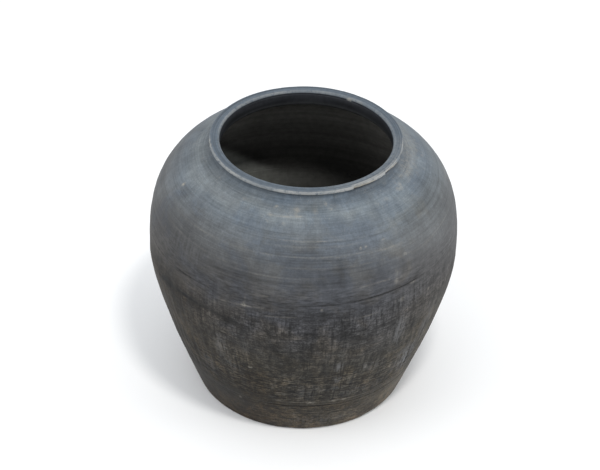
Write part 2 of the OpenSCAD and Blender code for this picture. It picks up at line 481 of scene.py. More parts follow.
def revolve(name, rows, flat_rows, clays, poles=False):
    """A closed mesh from rings of points. Faces that start on a flat row are shaded flat, so that the
    joint's edges stay sharp. With poles, the first and last rings close on the axis. The clays are the
    material of the outside and that of the inside."""
    count = rows.r.shape[0]
    points = np.stack([rows.r * np.sin(AROUND), -rows.r * np.cos(AROUND), rows.z], -1).reshape(-1, 3)
    ring = np.arange(SEGMENTS)
    after = (ring + 1) % SEGMENTS
    inner_ring = rows.fields["inside"].mean(axis=1)
    faces, flat, inner = [], [], []
    for k in range(count if not poles else count - 1):
        low, high = k * SEGMENTS, (k + 1) % count * SEGMENTS
        faces.append(np.stack([low + ring, low + after, high + after, high + ring], -1))
        flat.append(np.full(SEGMENTS, k in flat_rows))
        inner.append(np.full(SEGMENTS, inner_ring[k] + inner_ring[(k + 1) % count] > 1))
    quads = np.concatenate(faces)
    loops, sizes = quads.reshape(-1), np.full(len(quads), 4)
    fields = {n: rows.fields[n].reshape(-1) for n in FACE_FIELDS}
    arc = rows.arc.reshape(-1)
    azimuth = np.tile(AROUND, count)
    if poles:
        first, last = len(points), len(points) + 1
        points = np.concatenate([points, [[0, 0, rows.z[0].mean()], [0, 0, rows.z[-1].mean()]]])
        top = (count - 1) * SEGMENTS
        fans = np.concatenate([
            np.stack([after, ring, np.full(SEGMENTS, first)], -1),
            np.stack([top + ring, top + after, np.full(SEGMENTS, last)], -1),
        ])
        loops = np.concatenate([loops, fans.reshape(-1)])
        sizes = np.concatenate([sizes, np.full(len(fans), 3)])
        flat.append(np.zeros(len(fans), bool))
        inner.append(np.repeat(inner_ring[[0, -1]] > 0.5, SEGMENTS))
        fields = {n: np.concatenate([a, a[[0, -1]]]) for n, a in fields.items()}
        arc, azimuth = np.concatenate([arc, arc[[0, -1]]]), np.concatenate([azimuth, [0, 0]])

    mesh = new_mesh(name, points, loops, sizes)
    mesh.polygons.foreach_set("use_smooth", ~np.concatenate(flat))
    inner = np.concatenate(inner)
    all_inner = bool(inner.all())
    for clay in clays[1:] if all_inner else clays:
        mesh.materials.append(clay)
    mesh.polygons.foreach_set("material_index", (inner & (not all_inner)).astype(np.int32))
    unrolled = np.stack([UNROLLED_R * np.sin(azimuth), -UNROLLED_R * np.cos(azimuth), arc], -1) * MM
    wall = mesh.attributes.new("wall", "FLOAT_VECTOR", "POINT")
    wall.data.foreach_set("vector", unrolled.astype(np.float32).reshape(-1))
    for field, values in fields.items():
        layer = mesh.attributes.new(field, "FLOAT", "POINT")
        layer.data.foreach_set("value", values.astype(np.float32))
    mesh.validate()
    piece = bpy.data.objects.new(name, mesh)
    bpy.context.collection.objects.link(piece)
    return piece


def add_piece(node, slot, rows, flat_rows, clays, poles=False):
    """Makes the piece that stands for a CAD node."""
    piece = revolve("pot_" + node, rows, flat_rows, clays, poles)
    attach(piece, "root")
    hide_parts(node)
    return piece


# ---- the wall courses


def outside_rows(arc, edge_cuts):
    """The outside of the wall at an array of arcs. Each edge cut is a seam: its arc and its opening."""
    r, z, nr, nz = wall_at(arc)
    azimuth = np.broadcast_to(AROUND, arc.shape)
    lift = outer_relief(azimuth, arc, r)
    # Dark marks, among them painted shade from the dark smears.
    soot_and_shade = line_marks(DARK_LINES, azimuth, arc) + spot_marks(DARK_SMEARS_AND_SHADE, azimuth, arc, r, 0.25)
    pale = line_marks(PALE_LINES, azimuth, arc) + spot_marks(PALE_SPOTS, azimuth, arc, r, 0.35)
    dust = spot_marks(DUST_SMEARS, azimuth, arc, r, 0.2)
    for at, opening in edge_cuts:
        lift = lift - opening * bump(arc - at, 1.0)
        soot_and_shade = soot_and_shade + np.clip(opening * 1.3, 0, 1.2) * bump(arc - at, 1.3)
        pale = pale * (1 - np.clip(2 * opening, 0, 1) * bump(arc - at, 1.2))
    return Rows(r + lift * nr, z + lift * nz, arc, pale=pale, soot_and_shade=soot_and_shade, dust=dust)


def painted_light_pool(azimuth, arc):
    """A painted pool of light on the inside, where light falls in through the mouth: a pale band under a
    sloping line, and painted shade just above that line.
    """
    away = degrees_past(azimuth, -140)
    fading = 1 - smooth(80, 120, away)
    line = 199 + 70 * smooth(-33, 8, away) * fading + 2 * noise_round(34, azimuth, 14)
    thick = 0.05 + 0.95 * (smooth(-55, 0, away) * fading) ** 1.5
    return thick * (1 - smooth(-8, 8, arc - line)), 0.45 * bump(arc - line - 10, 11)


def inside_rows(arc):
    """The inside of the wall at an array of arcs."""
    r, z, nr, nz = wall_at(arc)
    azimuth = np.broadcast_to(AROUND, arc.shape)
    depth = WALL_T + inner_relief(azimuth, arc)
    # Painted light: a pale pool where light falls in through the mouth, with a painted shade line above it.
    light_pool, shade_line = painted_light_pool(azimuth, arc)
    return Rows(r - depth * nr, z - depth * nz, arc, inside=1.0, dust=light_pool, soot_and_shade=shade_line)


def between(low, high, shares):
    """A ring of arcs for each share of the way from one ring to another."""
    return low + (high - low) * shares[:, None]


SEAM_BASES = [arc_at(BASE_TOP)] + [arc_at(bottom_mm(n)) for n in COURSES[1:]] + [NECK_JOINT]
SEAM_ARCS = [seam_arc(i, base, AROUND) for i, base in enumerate(SEAM_BASES)]
SEAM_OPENINGS = [seam_opening(i, AROUND) for i in range(len(SEAM_BASES))]
# Spacing of the rings up the outside and up the inside.
OUTER_STEP = 1.3
INNER_STEP = 5.0


def inner_seam(i):
    """Where joint i meets the inside: each lap rises inwards, except at the neck."""
    return SEAM_ARCS[i] + (0.0 if i == len(COURSES) else LAP_RISE)


def inner_corner_rows():
    """The ring in the corner between the base and the foot course."""
    face = inside_rows(SEAM_ARCS[0][None, :])
    lean = np.interp(SEAM_BASES[0], TABLE_ARC, TABLE_DR) / np.interp(SEAM_BASES[0], TABLE_ARC, TABLE_DZ)
    return Rows(face.r - lean * (face.z - BASE_TOP), BASE_TOP, SEAM_BASES[0], inside=1.0, dust=0.3)


def course_rows(i):
    """Course i, from its lower joint to its upper one, and the rows where its hidden faces start."""
    length = SEAM_BASES[i + 1] - SEAM_BASES[i]
    arc = between(SEAM_ARCS[i], SEAM_ARCS[i + 1], spaced(length, OUTER_STEP))
    cuts = [(SEAM_ARCS[i], SEAM_OPENINGS[i]), (SEAM_ARCS[i + 1], SEAM_OPENINGS[i + 1])]
    outside = outside_rows(arc, cuts)
    inner_low = SEAM_ARCS[0] if i == 0 else inner_seam(i)
    shares = spaced(length, INNER_STEP, (1.0, 2.6))[::-1]
    inside = inside_rows(between(inner_low, inner_seam(i + 1), shares))
    if i == 0:
        inside = joined([inside, inner_corner_rows()])
    return closed_ring(outside, inside)


# ---- base, seal, neck and lip

# The rim was set a little high at the back.
RIM_RISE = 0.5 * (1 - np.cos(AROUND))


def path_rings(points, step):
    """Evenly spaced points along a path in the (r, z) plane, as columns: distance, r, z and normal."""
    points = np.array(points, float)
    run = np.concatenate([[0], np.cumsum(np.hypot(*np.diff(points, axis=0).T))])
    along = np.linspace(0, run[-1], max(3, round(run[-1] / step) + 1))
    r, z = np.interp(along, run, points[:, 0]), np.interp(along, run, points[:, 1])
    dr, dz = np.gradient(r, along), np.gradient(z, along)
    size = np.hypot(dr, dz)
    return (a[:, None] for a in (along, r, z, dz / size, -dr / size))


def turn(centre, radius, start, end, count=9):
    """Points on an arc in the (r, z) plane, with its angles in degrees."""
    angles = np.radians(np.linspace(start, end, count))
    return [(centre[0] + radius * math.cos(a), centre[1] + radius * math.sin(a)) for a in angles]


def curve(p0, p1, p2, count=12):
    """Points on the curve from p0 to p2 that is drawn towards p1."""
    t = np.linspace(0, 1, count)[:, None]
    return (1 - t) ** 2 * np.array(p0) + 2 * t * (1 - t) * np.array(p1) + t**2 * np.array(p2)


# How far the wall leans out for each mm of height at the foot.
FOOT_LEAN = 0.4


def base_rows():
    """The pat: a slightly hollow underside, the rounded foot edge, and the floor inside."""
    centre = (FOOT_R - FOOT_EDGE_R * (math.sqrt(1 + FOOT_LEAN**2) - FOOT_LEAN), FOOT_EDGE_R)
    under = [(r, 0.0) for r in (2, 20, 50, 80, 105, 120, 128)]
    edge = turn(centre, FOOT_EDGE_R, -90, -math.degrees(math.atan(FOOT_LEAN)))
    along, r, z, *_ = path_rings(under + edge, 2.4)
    azimuth = np.broadcast_to(AROUND, (len(r), SEGMENTS))
    flat = 1 - smooth(128, FOOT_R - 2, r)
    hollow = 1.6 * (1 - smooth(60, 118, r))
    rough = 0.12 * np.abs(noise(40, azimuth, along + 0 * azimuth, 240, 6))
    worn = 0.5 * np.clip(noise_round(41, azimuth, 70), 0, 1) * (1 - flat)
    height = z + (hollow + rough * flat) + 0.4 * worn
    underside = Rows(r - worn, height, -along[::-1], worn=worn)
    start = FOOT_EDGE_R + 0.4
    shares = spaced(SEAM_BASES[0] - start, OUTER_STEP, (0.4, 0.9))
    arc = between(start + 0 * AROUND, SEAM_ARCS[0], shares)
    side = outside_rows(arc, [(SEAM_ARCS[0], SEAM_OPENINGS[0])])
    corner = inner_corner_rows()
    floor_r = between(corner.r[0], 2 + 0 * AROUND, np.linspace(0, 1, 20)[1:])
    floor_arc = SEAM_BASES[0] + (corner.r[0] - floor_r)
    swirl = 0.5 * noise(42, AROUND + 0 * floor_r, floor_arc, 5, 14)
    swirl = swirl * smooth(12, 26, floor_arc - SEAM_BASES[0])
    floor_z = BASE_TOP - np.abs(swirl) * smooth(0, 20, floor_r)
    floor = joined([corner, Rows(floor_r, floor_z, floor_arc, inside=1.0, dust=0.3)])
    hidden_top = joint_face(side, floor)
    rows = joined([underside, side, hidden_top, floor])
    start_row = len(underside.r) + len(side.r) - 1
    return rows, set(range(start_row, start_row + len(hidden_top.r) + 1))


def seal_rows():
    """The thumbed coil in the inside corner."""
    corner = inner_corner_rows()
    wall = inside_rows(between(SEAM_ARCS[0], SEAM_ARCS[0] + SEAL_H, np.linspace(0, 1, 5)))
    toe_r = corner.r[0] - SEAL_H
    t = np.linspace(0, 1, 14)[1:, None]
    top_r, top_z = wall.r[-1], wall.z[-1]
    r = (1 - t) ** 2 * top_r + 2 * t * (1 - t) * (corner.r[0] - 1) + t**2 * toe_r
    z = (1 - t) ** 2 * top_z + 2 * t * (1 - t) * (BASE_TOP + 1) + t**2 * BASE_TOP
    thumb = 0.6 * noise(43, AROUND + 0 * r, 0 * r + 40, 44, 50) * np.sin(math.pi * t)
    hollow = Rows(r - thumb, z + thumb, SEAM_BASES[0] + SEAL_H * (1 - t) + 0 * r, inside=1.0, dust=0.3)
    return joined([wall, hollow, joint_face(hollow, corner), corner]), set()


def neck_outside():
    """The neck coil's shoulder side, hollow blend and upright neck, with painted shade under the lip."""
    blend_start = dome_height(NECK_R + NECK_REACH)
    shoulder = [(float(outer_radius(np.array(z))), z) for z in np.linspace(NECK_JOINT_Z, blend_start, 12)]
    blend = curve(shoulder[-1], (NECK_R, NECK_Z), (NECK_R, NECK_Z + NECK_DROP))
    path = shoulder + [tuple(p) for p in blend[1:]] + [(NECK_R, LIP_Z)]
    along, r, z, nr, nz = path_rings(path, 0.5)
    arc = NECK_JOINT + along + 0 * AROUND
    azimuth = AROUND + 0 * arc
    fade = 1 - smooth(4, 16, along)
    turned = 0.1 * noise(50, azimuth, arc, 5, 2.2)
    lift = outer_relief(azimuth, arc, r) * fade + turned * (1 - fade)
    lift = lift - SEAM_OPENINGS[-1] * bump(along, 1.0)
    pale = spot_marks(PALE_SPOTS, azimuth, arc, r, 0.35)
    below = along[-1] - along
    # Painted shadow under the lip, deeper where the chips bite in front on the right.
    shade = 0.7 * smooth(4.5, 0.8, below) + 0.5 * window(azimuth, 29, 72, 5) * smooth(13, 7, below)
    height = z + lift * nz + RIM_RISE * smooth(6, 14, along)
    return Rows(r + lift * nr, height, arc, pale=pale, soot_and_shade=shade)


def neck_inside():
    """The neck coil's upright inner face, streaked with smoke, and its rubbed bend into the shoulder."""
    turn_r, turn_z, turn_nr, turn_nz = wall_at(arc_at(NECK_Z))
    inner_turn = (turn_r - WALL_T * turn_nr, turn_z - WALL_T * turn_nz)
    bend = [tuple(p) for p in curve((MOUTH_R, NECK_Z), (MOUTH_R, inner_turn[1] + 1), inner_turn)]
    along, r, z, nr, nz = path_rings([(MOUTH_R, LIP_Z)] + bend, 1.6)
    azimuth = AROUND + 0 * along
    ridge = 0.35 * noise(51, azimuth, along + 0 * azimuth, 4, 5) * smooth(0, 4, along)
    streaks = noise(52, azimuth, along + 0 * azimuth, 26, 2.4)
    bent = smooth(9.5, 13, along)
    smoked = smooth(0, 3, along) * (1 - bent)
    face = Rows(
        r + ridge * nr,
        z + ridge * nz + RIM_RISE * (1 - smooth(4, 12, along)),
        NECK_JOINT + 25 - along,
        inside=1.0,
        dust=0.08 * bent + 0.03 * np.clip(streaks, 0, 1),
        soot_and_shade=(0.3 + 0.4 * np.clip(-streaks, 0, 1)) * smoked,
    )
    return joined([face, inside_rows(SEAM_ARCS[-1][None, :])])


def neck_rows():
    """The neck coil, with the joint under the lip and the one on the shoulder."""
    return closed_ring(neck_outside(), neck_inside())


# The lip's own arcs start here, so that its noise differs from the wall's.
LIP_ARC = NECK_JOINT + 60
# Specks on the lip: azimuth, then as for the wall's spots. The first list is the chip on the inner edge.
INNER_CHIP = [(150.6, 0.0, 3.4, 6.0, 1.6)]
LIP_SPECKS = [(-84.6, 0.0, 1.6, 6.0, 1.2), (-79.2, 0.0, 1.4, 6.0, 1.2)]
GROOVE_DEPTH = 0.22


def lip_section():
    """Points round the lip, from under its outer edge over the top to its inner edge."""
    return (
        [(NECK_R, LIP_Z)]
        + turn((LIP_R - UNDER_ROUND, LIP_Z + UNDER_ROUND), UNDER_ROUND, -90, 0)
        + turn((LIP_R - OUTER_ROUND, RIM_Z - OUTER_ROUND), OUTER_ROUND, 0, 90)
        + turn((MOUTH_R + INNER_ROUND, RIM_Z - INNER_ROUND), INNER_ROUND, 90, 180)
        + [(MOUTH_R, LIP_Z)]
    )


def chipped(r, z, azimuth, arc, narrow, anchored):
    """The lip's radius with its chips broken out, and where the fresh break shows."""
    fracture = 0 * arc
    for i, (start, end, depth) in enumerate(LIP_CHIPS):
        away = degrees_past(azimuth, start)
        ragged = noise(64 + i, azimuth, arc, 170, 3.5)
        fading = 1 - smooth(0.25, 1.0, away / (end - start) + 0.2 * ragged)
        bite = depth * smooth(-0.4, 0.9, away + 0.5 * ragged) * fading * (1 + 0.35 * ragged)
        low = 1 - smooth(RIM_Z - 3.2, RIM_Z - 0.4, z)
        over = r - (LIP_R - narrow - bite * (0.35 + 0.65 * low))
        cut = np.where(bite > 0.05, 0.5 * (over + np.sqrt(over**2 + 0.16)), 0) * anchored
        cut = np.minimum(cut, bite)
        r = r - cut
        fracture = fracture + smooth(0.15, 0.6, cut)
    return r, fracture


def lip_wear_and_highlight(azimuth, arc, out, is_top, is_outer, faces_up):
    """Where the lip is pale, partly rubbed and partly painted highlight: its outer edge in front, its inner
    edge behind, and patches on top.
    """
    front = window(azimuth, -78, 32, 16) + 0.85 * window(azimuth, 34, 88, 6)
    rub = 0.8 + 0.3 * noise(80, azimuth, arc, 50, 6)
    behind = 1 - window(azimuth, -62, 75, 22)
    inner_edge = (0.12 + 0.45 * behind) * (1 - smooth(0.1, 0.3, out)) * faces_up
    patches = np.clip(0.5 + 0.9 * noise_round(82, azimuth, 34), 0, 1)
    trodden = 0.19 * window(azimuth, 20, 85, 14) * is_top + 0.05 * is_top
    trodden = trodden + smooth(0.58, 0.74, out) * is_top * window(azimuth, 31, 84, 4) * patches
    worn = is_outer * rub * (0.1 + 0.9 * front)
    worn = worn + inner_edge * (0.8 + 0.4 * noise(81, azimuth, arc, 40, 6)) + trodden
    return np.clip(worn, 0, 1.2)


def lip_rows():
    """The lip band: undercut, worn outer edge with its chips, turned flat top, rounded inner edge."""
    along, r, z, nr, nz = path_rings(lip_section(), 0.42)
    r, z, nr, nz = (a + 0 * AROUND for a in (r, z, nr, nz))
    arc = LIP_ARC + along + 0 * AROUND
    azimuth = AROUND + 0 * arc
    anchored = smooth(0, 2.5, along) * smooth(0, 2.0, along[-1] - along)
    faces_up = smooth(-0.2, 0.3, nz)
    is_top = smooth(0.6, 0.95, nz)
    is_outer = smooth(0.1, 0.6, nr)
    is_inner = smooth(0.15, 0.6, -nr) * faces_up
    out = (r - MOUTH_R) / (LIP_R - MOUTH_R)
    narrow = out**2 * (0.85 + 0.85 * np.cos(azimuth)) * anchored
    swell = 0.25 * noise_round(60, azimuth, 7) + 0.15 * noise_round(61, azimuth, 22)
    grooves = GROOVE_DEPTH * noise(62, azimuth, arc, 3, 1.3) * is_top
    nicks = 0.28 * np.clip(noise(63, azimuth, arc, 120, 5) - 0.35, 0, 1) * (is_outer + is_inner)
    lift = anchored * (swell * (0.3 + 0.7 * is_outer) + grooves - nicks)
    r, z = r + lift * nr - narrow, z + lift * nz
    r, fracture = chipped(r, z, azimuth, arc, narrow, anchored)
    chip = spot_marks(INNER_CHIP, azimuth, 0 * arc, MOUTH_R, 0.3) * smooth(0.5, 0.9, -nr)
    specks = spot_marks(LIP_SPECKS, azimuth, 0 * arc, LIP_R, 0.3)
    # Painted shade on the lip's down-facing underside.
    undercut = 1 - smooth(-0.9, -0.2, nz)
    inner_face = smooth(0.75, 1.0, -nr) * (1 - smooth(RIM_Z - 3.5, RIM_Z - 1.5, z))
    face = Rows(
        r,
        z + RIM_RISE,
        arc,
        lip=1.0,
        # Wear, and painted highlight on the edges that face the light.
        worn=lip_wear_and_highlight(azimuth, arc, out, is_top, is_outer, faces_up),
        pale=np.clip(fracture, 0, 1) * 1.5 + chip + specks * is_outer,
        soot_and_shade=0.9 * undercut + np.clip(-grooves / GROOVE_DEPTH, 0, 1) * 0.9,
        inside=inner_face * (1 - np.clip(chip, 0, 1)),
    )
    hidden = joint_face(face, face)
    return joined([face, hidden]), set(range(len(face.r) - 1, len(face.r) + len(hidden.r)))


# ---- material


class Shader:
    """Short calls for building a node material."""

    def __init__(self, name):
        self.material = bpy.data.materials.new(name)
        self.material.use_nodes = True
        self.tree = self.material.node_tree
        self.tree.nodes.clear()

    def plug(self, socket, value):
        """Links a socket to another node, or sets it."""
        if isinstance(value, bpy.types.NodeSocket):
            self.tree.links.new(value, socket)
        else:
            socket.default_value = value

    def node(self, kind, sockets=None, **settings):
        made = self.tree.nodes.new("ShaderNode" + kind)
        for key, value in settings.items():
            setattr(made, key, value)
        for key, value in (sockets or {}).items():
            self.plug(made.inputs[key], value)
        return made

    def field(self, name, output="Fac"):
        return self.node("Attribute", attribute_name=name).outputs[output]

    def math(self, operation, a, b, clamp=False):
        return self.node("Math", {0: a, 1: b}, operation=operation, use_clamp=clamp).outputs[0]

    def times(self, first, *others):
        for other in others:
            first = self.math("MULTIPLY", first, other)
        return first

    def greatest(self, first, *others):
        for other in others:
            first = self.math("MAXIMUM", first, other)
        return first

    def line(self, value, slope, start, clamp=False):
        """start + slope * value."""
        sockets = {0: value, 1: slope, 2: start}
        return self.node("Math", sockets, operation="MULTIPLY_ADD", use_clamp=clamp).outputs[0]

    def span(self, value, low, high, to_low=0.0, to_high=1.0, kind="SMOOTHSTEP"):
        """A step from one value to another as the input goes from low to high."""
        sockets = {"Value": value, "From Min": low, "From Max": high, "To Min": to_low, "To Max": to_high}
        return self.node("MapRange", sockets, interpolation_type=kind).outputs[0]

    def swing(self, value, amount):
        """Noise turned into a factor that swings about 1 by an amount."""
        return self.span(value, 0.3, 0.7, 1 - amount, 1 + amount, "LINEAR")

    def blend_swing(self, value, share, least, most):
        """The same, with an amount that grows from least to most with the share."""
        amount = self.line(share, most - least, least)
        swung = self.math("SUBTRACT", self.swing(value, 1.0), 1.0)
        return self.line(swung, amount, 1.0)

    def scaled(self, vector, scale):
        sockets = {0: vector, 1: scale}
        return self.node("VectorMath", sockets, operation="MULTIPLY").outputs[0]

    def toned(self, colour, factor):
        """A colour made lighter or darker by a factor."""
        return self.scaled(colour, self.node("CombineXYZ", {0: factor, 1: factor, 2: factor}).outputs[0])

    def mix(self, share, a, b, blend="MIX"):
        made = self.node("Mix", data_type="RGBA", blend_type=blend, clamp_factor=True)
        for socket, value in ((made.inputs[0], share), (made.inputs[6], a), (made.inputs[7], b)):
            self.plug(socket, value)
        return made.outputs[2]

    def finished(self, sockets):
        """The material, with its surface's sockets set."""
        surface = self.node("BsdfPrincipled", sockets).outputs[0]
        self.node("OutputMaterial", {"Surface": surface})
        return self.material


class ClayShader(Shader):
    """Fired clay, with the noises and the zones of the wall that its look is made from."""

    def __init__(self, name):
        super().__init__(name)
        self.wall = self.field("wall", "Vector")
        place = self.node("SeparateXYZ", {0: self.wall}).outputs
        self.sideways, self.arc = place["X"], place["Z"]
        self.aside = self.math("ABSOLUTE", self.sideways, 0.0)
        self.dust, self.soot_and_shade = self.field("dust"), self.field("soot_and_shade")
        self.make_noises()
        self.make_zones()

    def noise(self, round_mm, up_mm, detail=2.0, rough=0.5, distort=0.0):
        """Noise whose patches are about round_mm round the jar by up_mm up the wall."""
        across, up = 1 / (round_mm * MM), 1 / (up_mm * MM)
        sockets = {"Vector": self.scaled(self.wall, (across, across, up)), "Scale": 1.0, "Detail": detail}
        sockets.update({"Roughness": rough, "Distortion": distort})
        return self.node("TexNoise", sockets).outputs["Fac"]

    def make_noises(self):
        for name, sizes in CLAY_NOISES.items():
            setattr(self, name, self.noise(*sizes))
        self.drift = self.line(self.cloud, 0.06, -0.03)

    def make_zones(self):
        """How much each point belongs to each zone of the wall. The limits are arcs in metres."""
        arc, span, times = self.arc, self.span, self.times
        self.low = times(span(self.math("ADD", arc, self.drift), 0.27, 0.215), span(arc, 0.058, 0.08))
        self.foot = span(arc, 0.075, 0.055)
        self.high = self.math("SUBTRACT", self.math("SUBTRACT", 1.0, self.low), times(self.foot, 0.6))
        self.lower = span(arc, 0.15, 0.105)
        belly = times(span(arc, 0.215, 0.245), span(arc, 0.3, 0.26))
        scratched = times(self.line(self.lower, 0.6, 0.4), self.low)
        self.ticked = self.greatest(scratched, times(belly, 0.33), times(self.foot, 0.7))
        self.upright = times(self.low, span(self.noise(70, 60, 2.0, 0.5), 0.42, 0.58, 0.3, 1.0))
        self.flecked = self.line(self.foot, 0.9, times(self.low, span(arc, 0.125, 0.16, 1.0, 0.85)))
        self.shaded = times(span(self.sideways, -0.03, -0.06), span(arc, 0.15, 0.125))

    def ramp(self, place, column):
        """The colour at a place up the wall, from a column of the stops."""
        made = self.node("ValToRGB", {0: place})
        elements = made.color_ramp.elements
        while len(elements) < len(CLAY_STOPS_WITH_PAINTED_LIGHT):
            elements.new(1.0)
        for element, stop in zip(elements, CLAY_STOPS_WITH_PAINTED_LIGHT):
            element.position = stop[0] / RAMP_TOP
            element.color = (*stop[column], 1)
        return made.outputs["Color"]


# Patch size round the jar and up the wall in mm, then detail, roughness and distortion.
CLAY_NOISES = {
    "cloud": (90, 65, 3.0, 0.55),
    "patch": (28, 25, 3.0, 0.55),
    "mottle": (9, 8, 3.0, 0.6),
    "blots": (5.2, 4.0, 4.0, 0.75),
    "grain": (2.4, 2.0, 2.0, 0.6),
    "strokes": (3.2, 30, 2.0, 0.6, 0.25),
    "sweeps": (9, 48, 2.0, 0.5, 0.3),
    "hatch": (12, 2.5, 2.0, 0.6),
    "rings": (110, 1.8, 3.0, 0.6),
    "bands": (320, 7.0, 2.0, 0.5),
}
RAMP_TOP = 0.4
# Clay colour up the wall: arc in metres, then the smoke-grey and the brown-grey it is mottled with. The
# stops grow lighter up the shoulder partly as clay colour and partly as painted light from above, and the
# last two darken into painted shade under the lip.
CLAY_STOPS_WITH_PAINTED_LIGHT = [
    (0.000, (0.0392, 0.0328, 0.0240), (0.0522, 0.0370, 0.0215)),
    (0.060, (0.0198, 0.0170, 0.0124), (0.0246, 0.0181, 0.0104)),
    (0.150, (0.0264, 0.0246, 0.0211), (0.0300, 0.0247, 0.0172)),
    (0.235, (0.0313, 0.0321, 0.0364), (0.0346, 0.0309, 0.0273)),
    (0.285, (0.0431, 0.0468, 0.0547), (0.0475, 0.0465, 0.0452)),
    (0.325, (0.0737, 0.0852, 0.1001), (0.0807, 0.0838, 0.0847)),
    (0.360, (0.0897, 0.1110, 0.1361), (0.0987, 0.1127, 0.1235)),
    (0.376, (0.1118, 0.1336, 0.1513), (0.1233, 0.1373, 0.1428)),
    (0.388, (0.0980, 0.1193, 0.1404), (0.1095, 0.1223, 0.1305)),
    (0.400, (0.0702, 0.0890, 0.1103), (0.0767, 0.0905, 0.1027)),
]
LIP_GREY = (0.078, 0.099, 0.122)
LIP_WORN_AND_HIGHLIGHT = (0.25, 0.255, 0.25, 1)
CREAM = (0.3, 0.28, 0.24, 1)
DUST = (0.115, 0.118, 0.124, 1)
# Near-black for soot and for painted shade.
SOOT_AND_SHADE_COLOUR = (0.008, 0.008, 0.008, 1)
SCUFF = (0.063, 0.0625, 0.06, 1)
UMBER_AND_SHADE_LEFT = (0.75, 0.67, 0.56, 1)
UMBER_RIGHT = (1.05, 0.98, 0.86, 1)
INNER_CLAY = (0.065, 0.063, 0.058)
INNER_DUST_AND_LIGHT_POOL = (0.24, 0.246, 0.225, 1)
INNER_NECK = (0.029, 0.031, 0.036, 1)


def fired_clay_with_painted_light(s):
    """The clay before handling: smoke-grey above, brown-grey below, each showing through the other. Its
    lightness up the wall is partly painted light from above and painted shade under the lip.
    """
    place = s.math("DIVIDE", s.math("ADD", s.arc, s.drift), RAMP_TOP, clamp=True)
    warm = s.line(s.sideways, -0.7, s.noise(44, 32, 5.0, 0.62, 0.4))
    smoky_belt = s.times(s.span(s.arc, 0.215, 0.235), s.span(s.arc, 0.3, 0.27))
    warm = s.line(smoky_belt, -0.05, warm)
    return s.mix(s.span(warm, 0.38, 0.62, 0.14, 0.86), s.ramp(place, 1), s.ramp(place, 2))


def scraped_gaps(s):
    """Dark specks and streaks where the scraper skipped."""
    gaps = s.greatest(
        s.times(s.span(s.blots, 0.46, 0.37), s.line(s.foot, 0.7, s.low)),
        s.times(s.span(s.strokes, 0.42, 0.33), s.upright),
        s.times(s.span(s.hatch, 0.46, 0.37), s.ticked),
        s.times(s.span(s.grain, 0.41, 0.31), s.flecked),
    )
    return s.times(gaps, s.span(s.arc, 0.125, 0.16, 1.0, 0.75))


def outer_clay(s):
    """The outside: fired clay with its tone broken by strokes, rings, gaps, scuffs and dust, with painted
    shade on its left side and a warmer tint on its right.
    """
    gaps = scraped_gaps(s)
    scuffs = s.greatest(
        s.times(s.span(s.blots, 0.56, 0.66), s.line(s.flecked, 0.85, 0.12)),
        s.times(s.span(s.hatch, 0.56, 0.67), s.times(s.lower, s.low)),
    )
    # The foot made lighter towards the front and the right.
    foot_lightening = s.line(s.span(s.sideways, 0.04, 0.1), 0.1, s.span(s.sideways, -0.05, 0.0, 0.0, 0.17))
    foot_lightening = s.times(foot_lightening, s.span(s.arc, 0.072, 0.054))
    tone = s.times(
        s.swing(s.cloud, 0.15),
        s.blend_swing(s.grain, s.flecked, 0.12, 0.54),
        s.blend_swing(s.patch, s.flecked, 0.1, 0.6),
        s.blend_swing(s.mottle, s.flecked, 0.12, 0.4),
        s.blend_swing(s.strokes, s.upright, 0.05, 0.4),
        s.blend_swing(s.sweeps, s.low, 0.03, 0.34),
        s.blend_swing(s.hatch, s.ticked, 0.05, 1.0),
        s.blend_swing(s.rings, s.high, 0.15, 0.15),
        s.blend_swing(s.bands, s.high, 0.1, 0.07),
        s.line(gaps, -0.56, 1.09),
        s.line(scuffs, 0.42, 1.0),
        s.line(s.shaded, -0.22, 1.0),
        s.math("ADD", foot_lightening, 1.0),
    )
    clay = s.mix(s.times(scuffs, 0.5), s.toned(fired_clay_with_painted_light(s), tone), SCUFF)
    umber_and_left_shade = s.mix(s.span(s.sideways, -0.05, 0.05), UMBER_AND_SHADE_LEFT, UMBER_RIGHT)
    faded = s.times(s.span(s.sideways, 0.09, 0.16), s.span(s.arc, 0.375, 0.345))
    # Painted shade: the lower left side darker and browner; the sides also take an umber tint.
    sides = s.greatest(
        s.times(s.span(s.aside, 0.1, 0.155), s.span(s.arc, 0.285, 0.215)),
        s.times(s.shaded, 0.7),
        s.times(faded, 0.7),
    )
    clay = s.mix(sides, clay, s.mix(1.0, clay, umber_and_left_shade, "MULTIPLY"))
    wiped = s.times(s.dust, s.span(s.math("ADD", s.blots, s.strokes), 0.84, 1.12))
    return s.mix(s.math("MULTIPLY", wiped, 0.55, clamp=True), clay, DUST)


def with_lip(s, clay):
    """Lays the lip's clay over the rest, with its turning rings, and its edges pale with wear and painted
    highlight.
    """
    tone = s.times(s.swing(s.noise(160, 0.9, 2.0, 0.5), 0.3), s.swing(s.mottle, 0.2))
    clay = s.mix(s.field("lip"), clay, s.toned(LIP_GREY, tone))
    # Wear and painted highlight on the lip's edges.
    worn = s.times(s.field("worn"), s.span(s.noise(7, 3, 3.0, 0.6), 0.25, 0.55))
    return s.mix(worn, clay, LIP_WORN_AND_HIGHLIGHT)


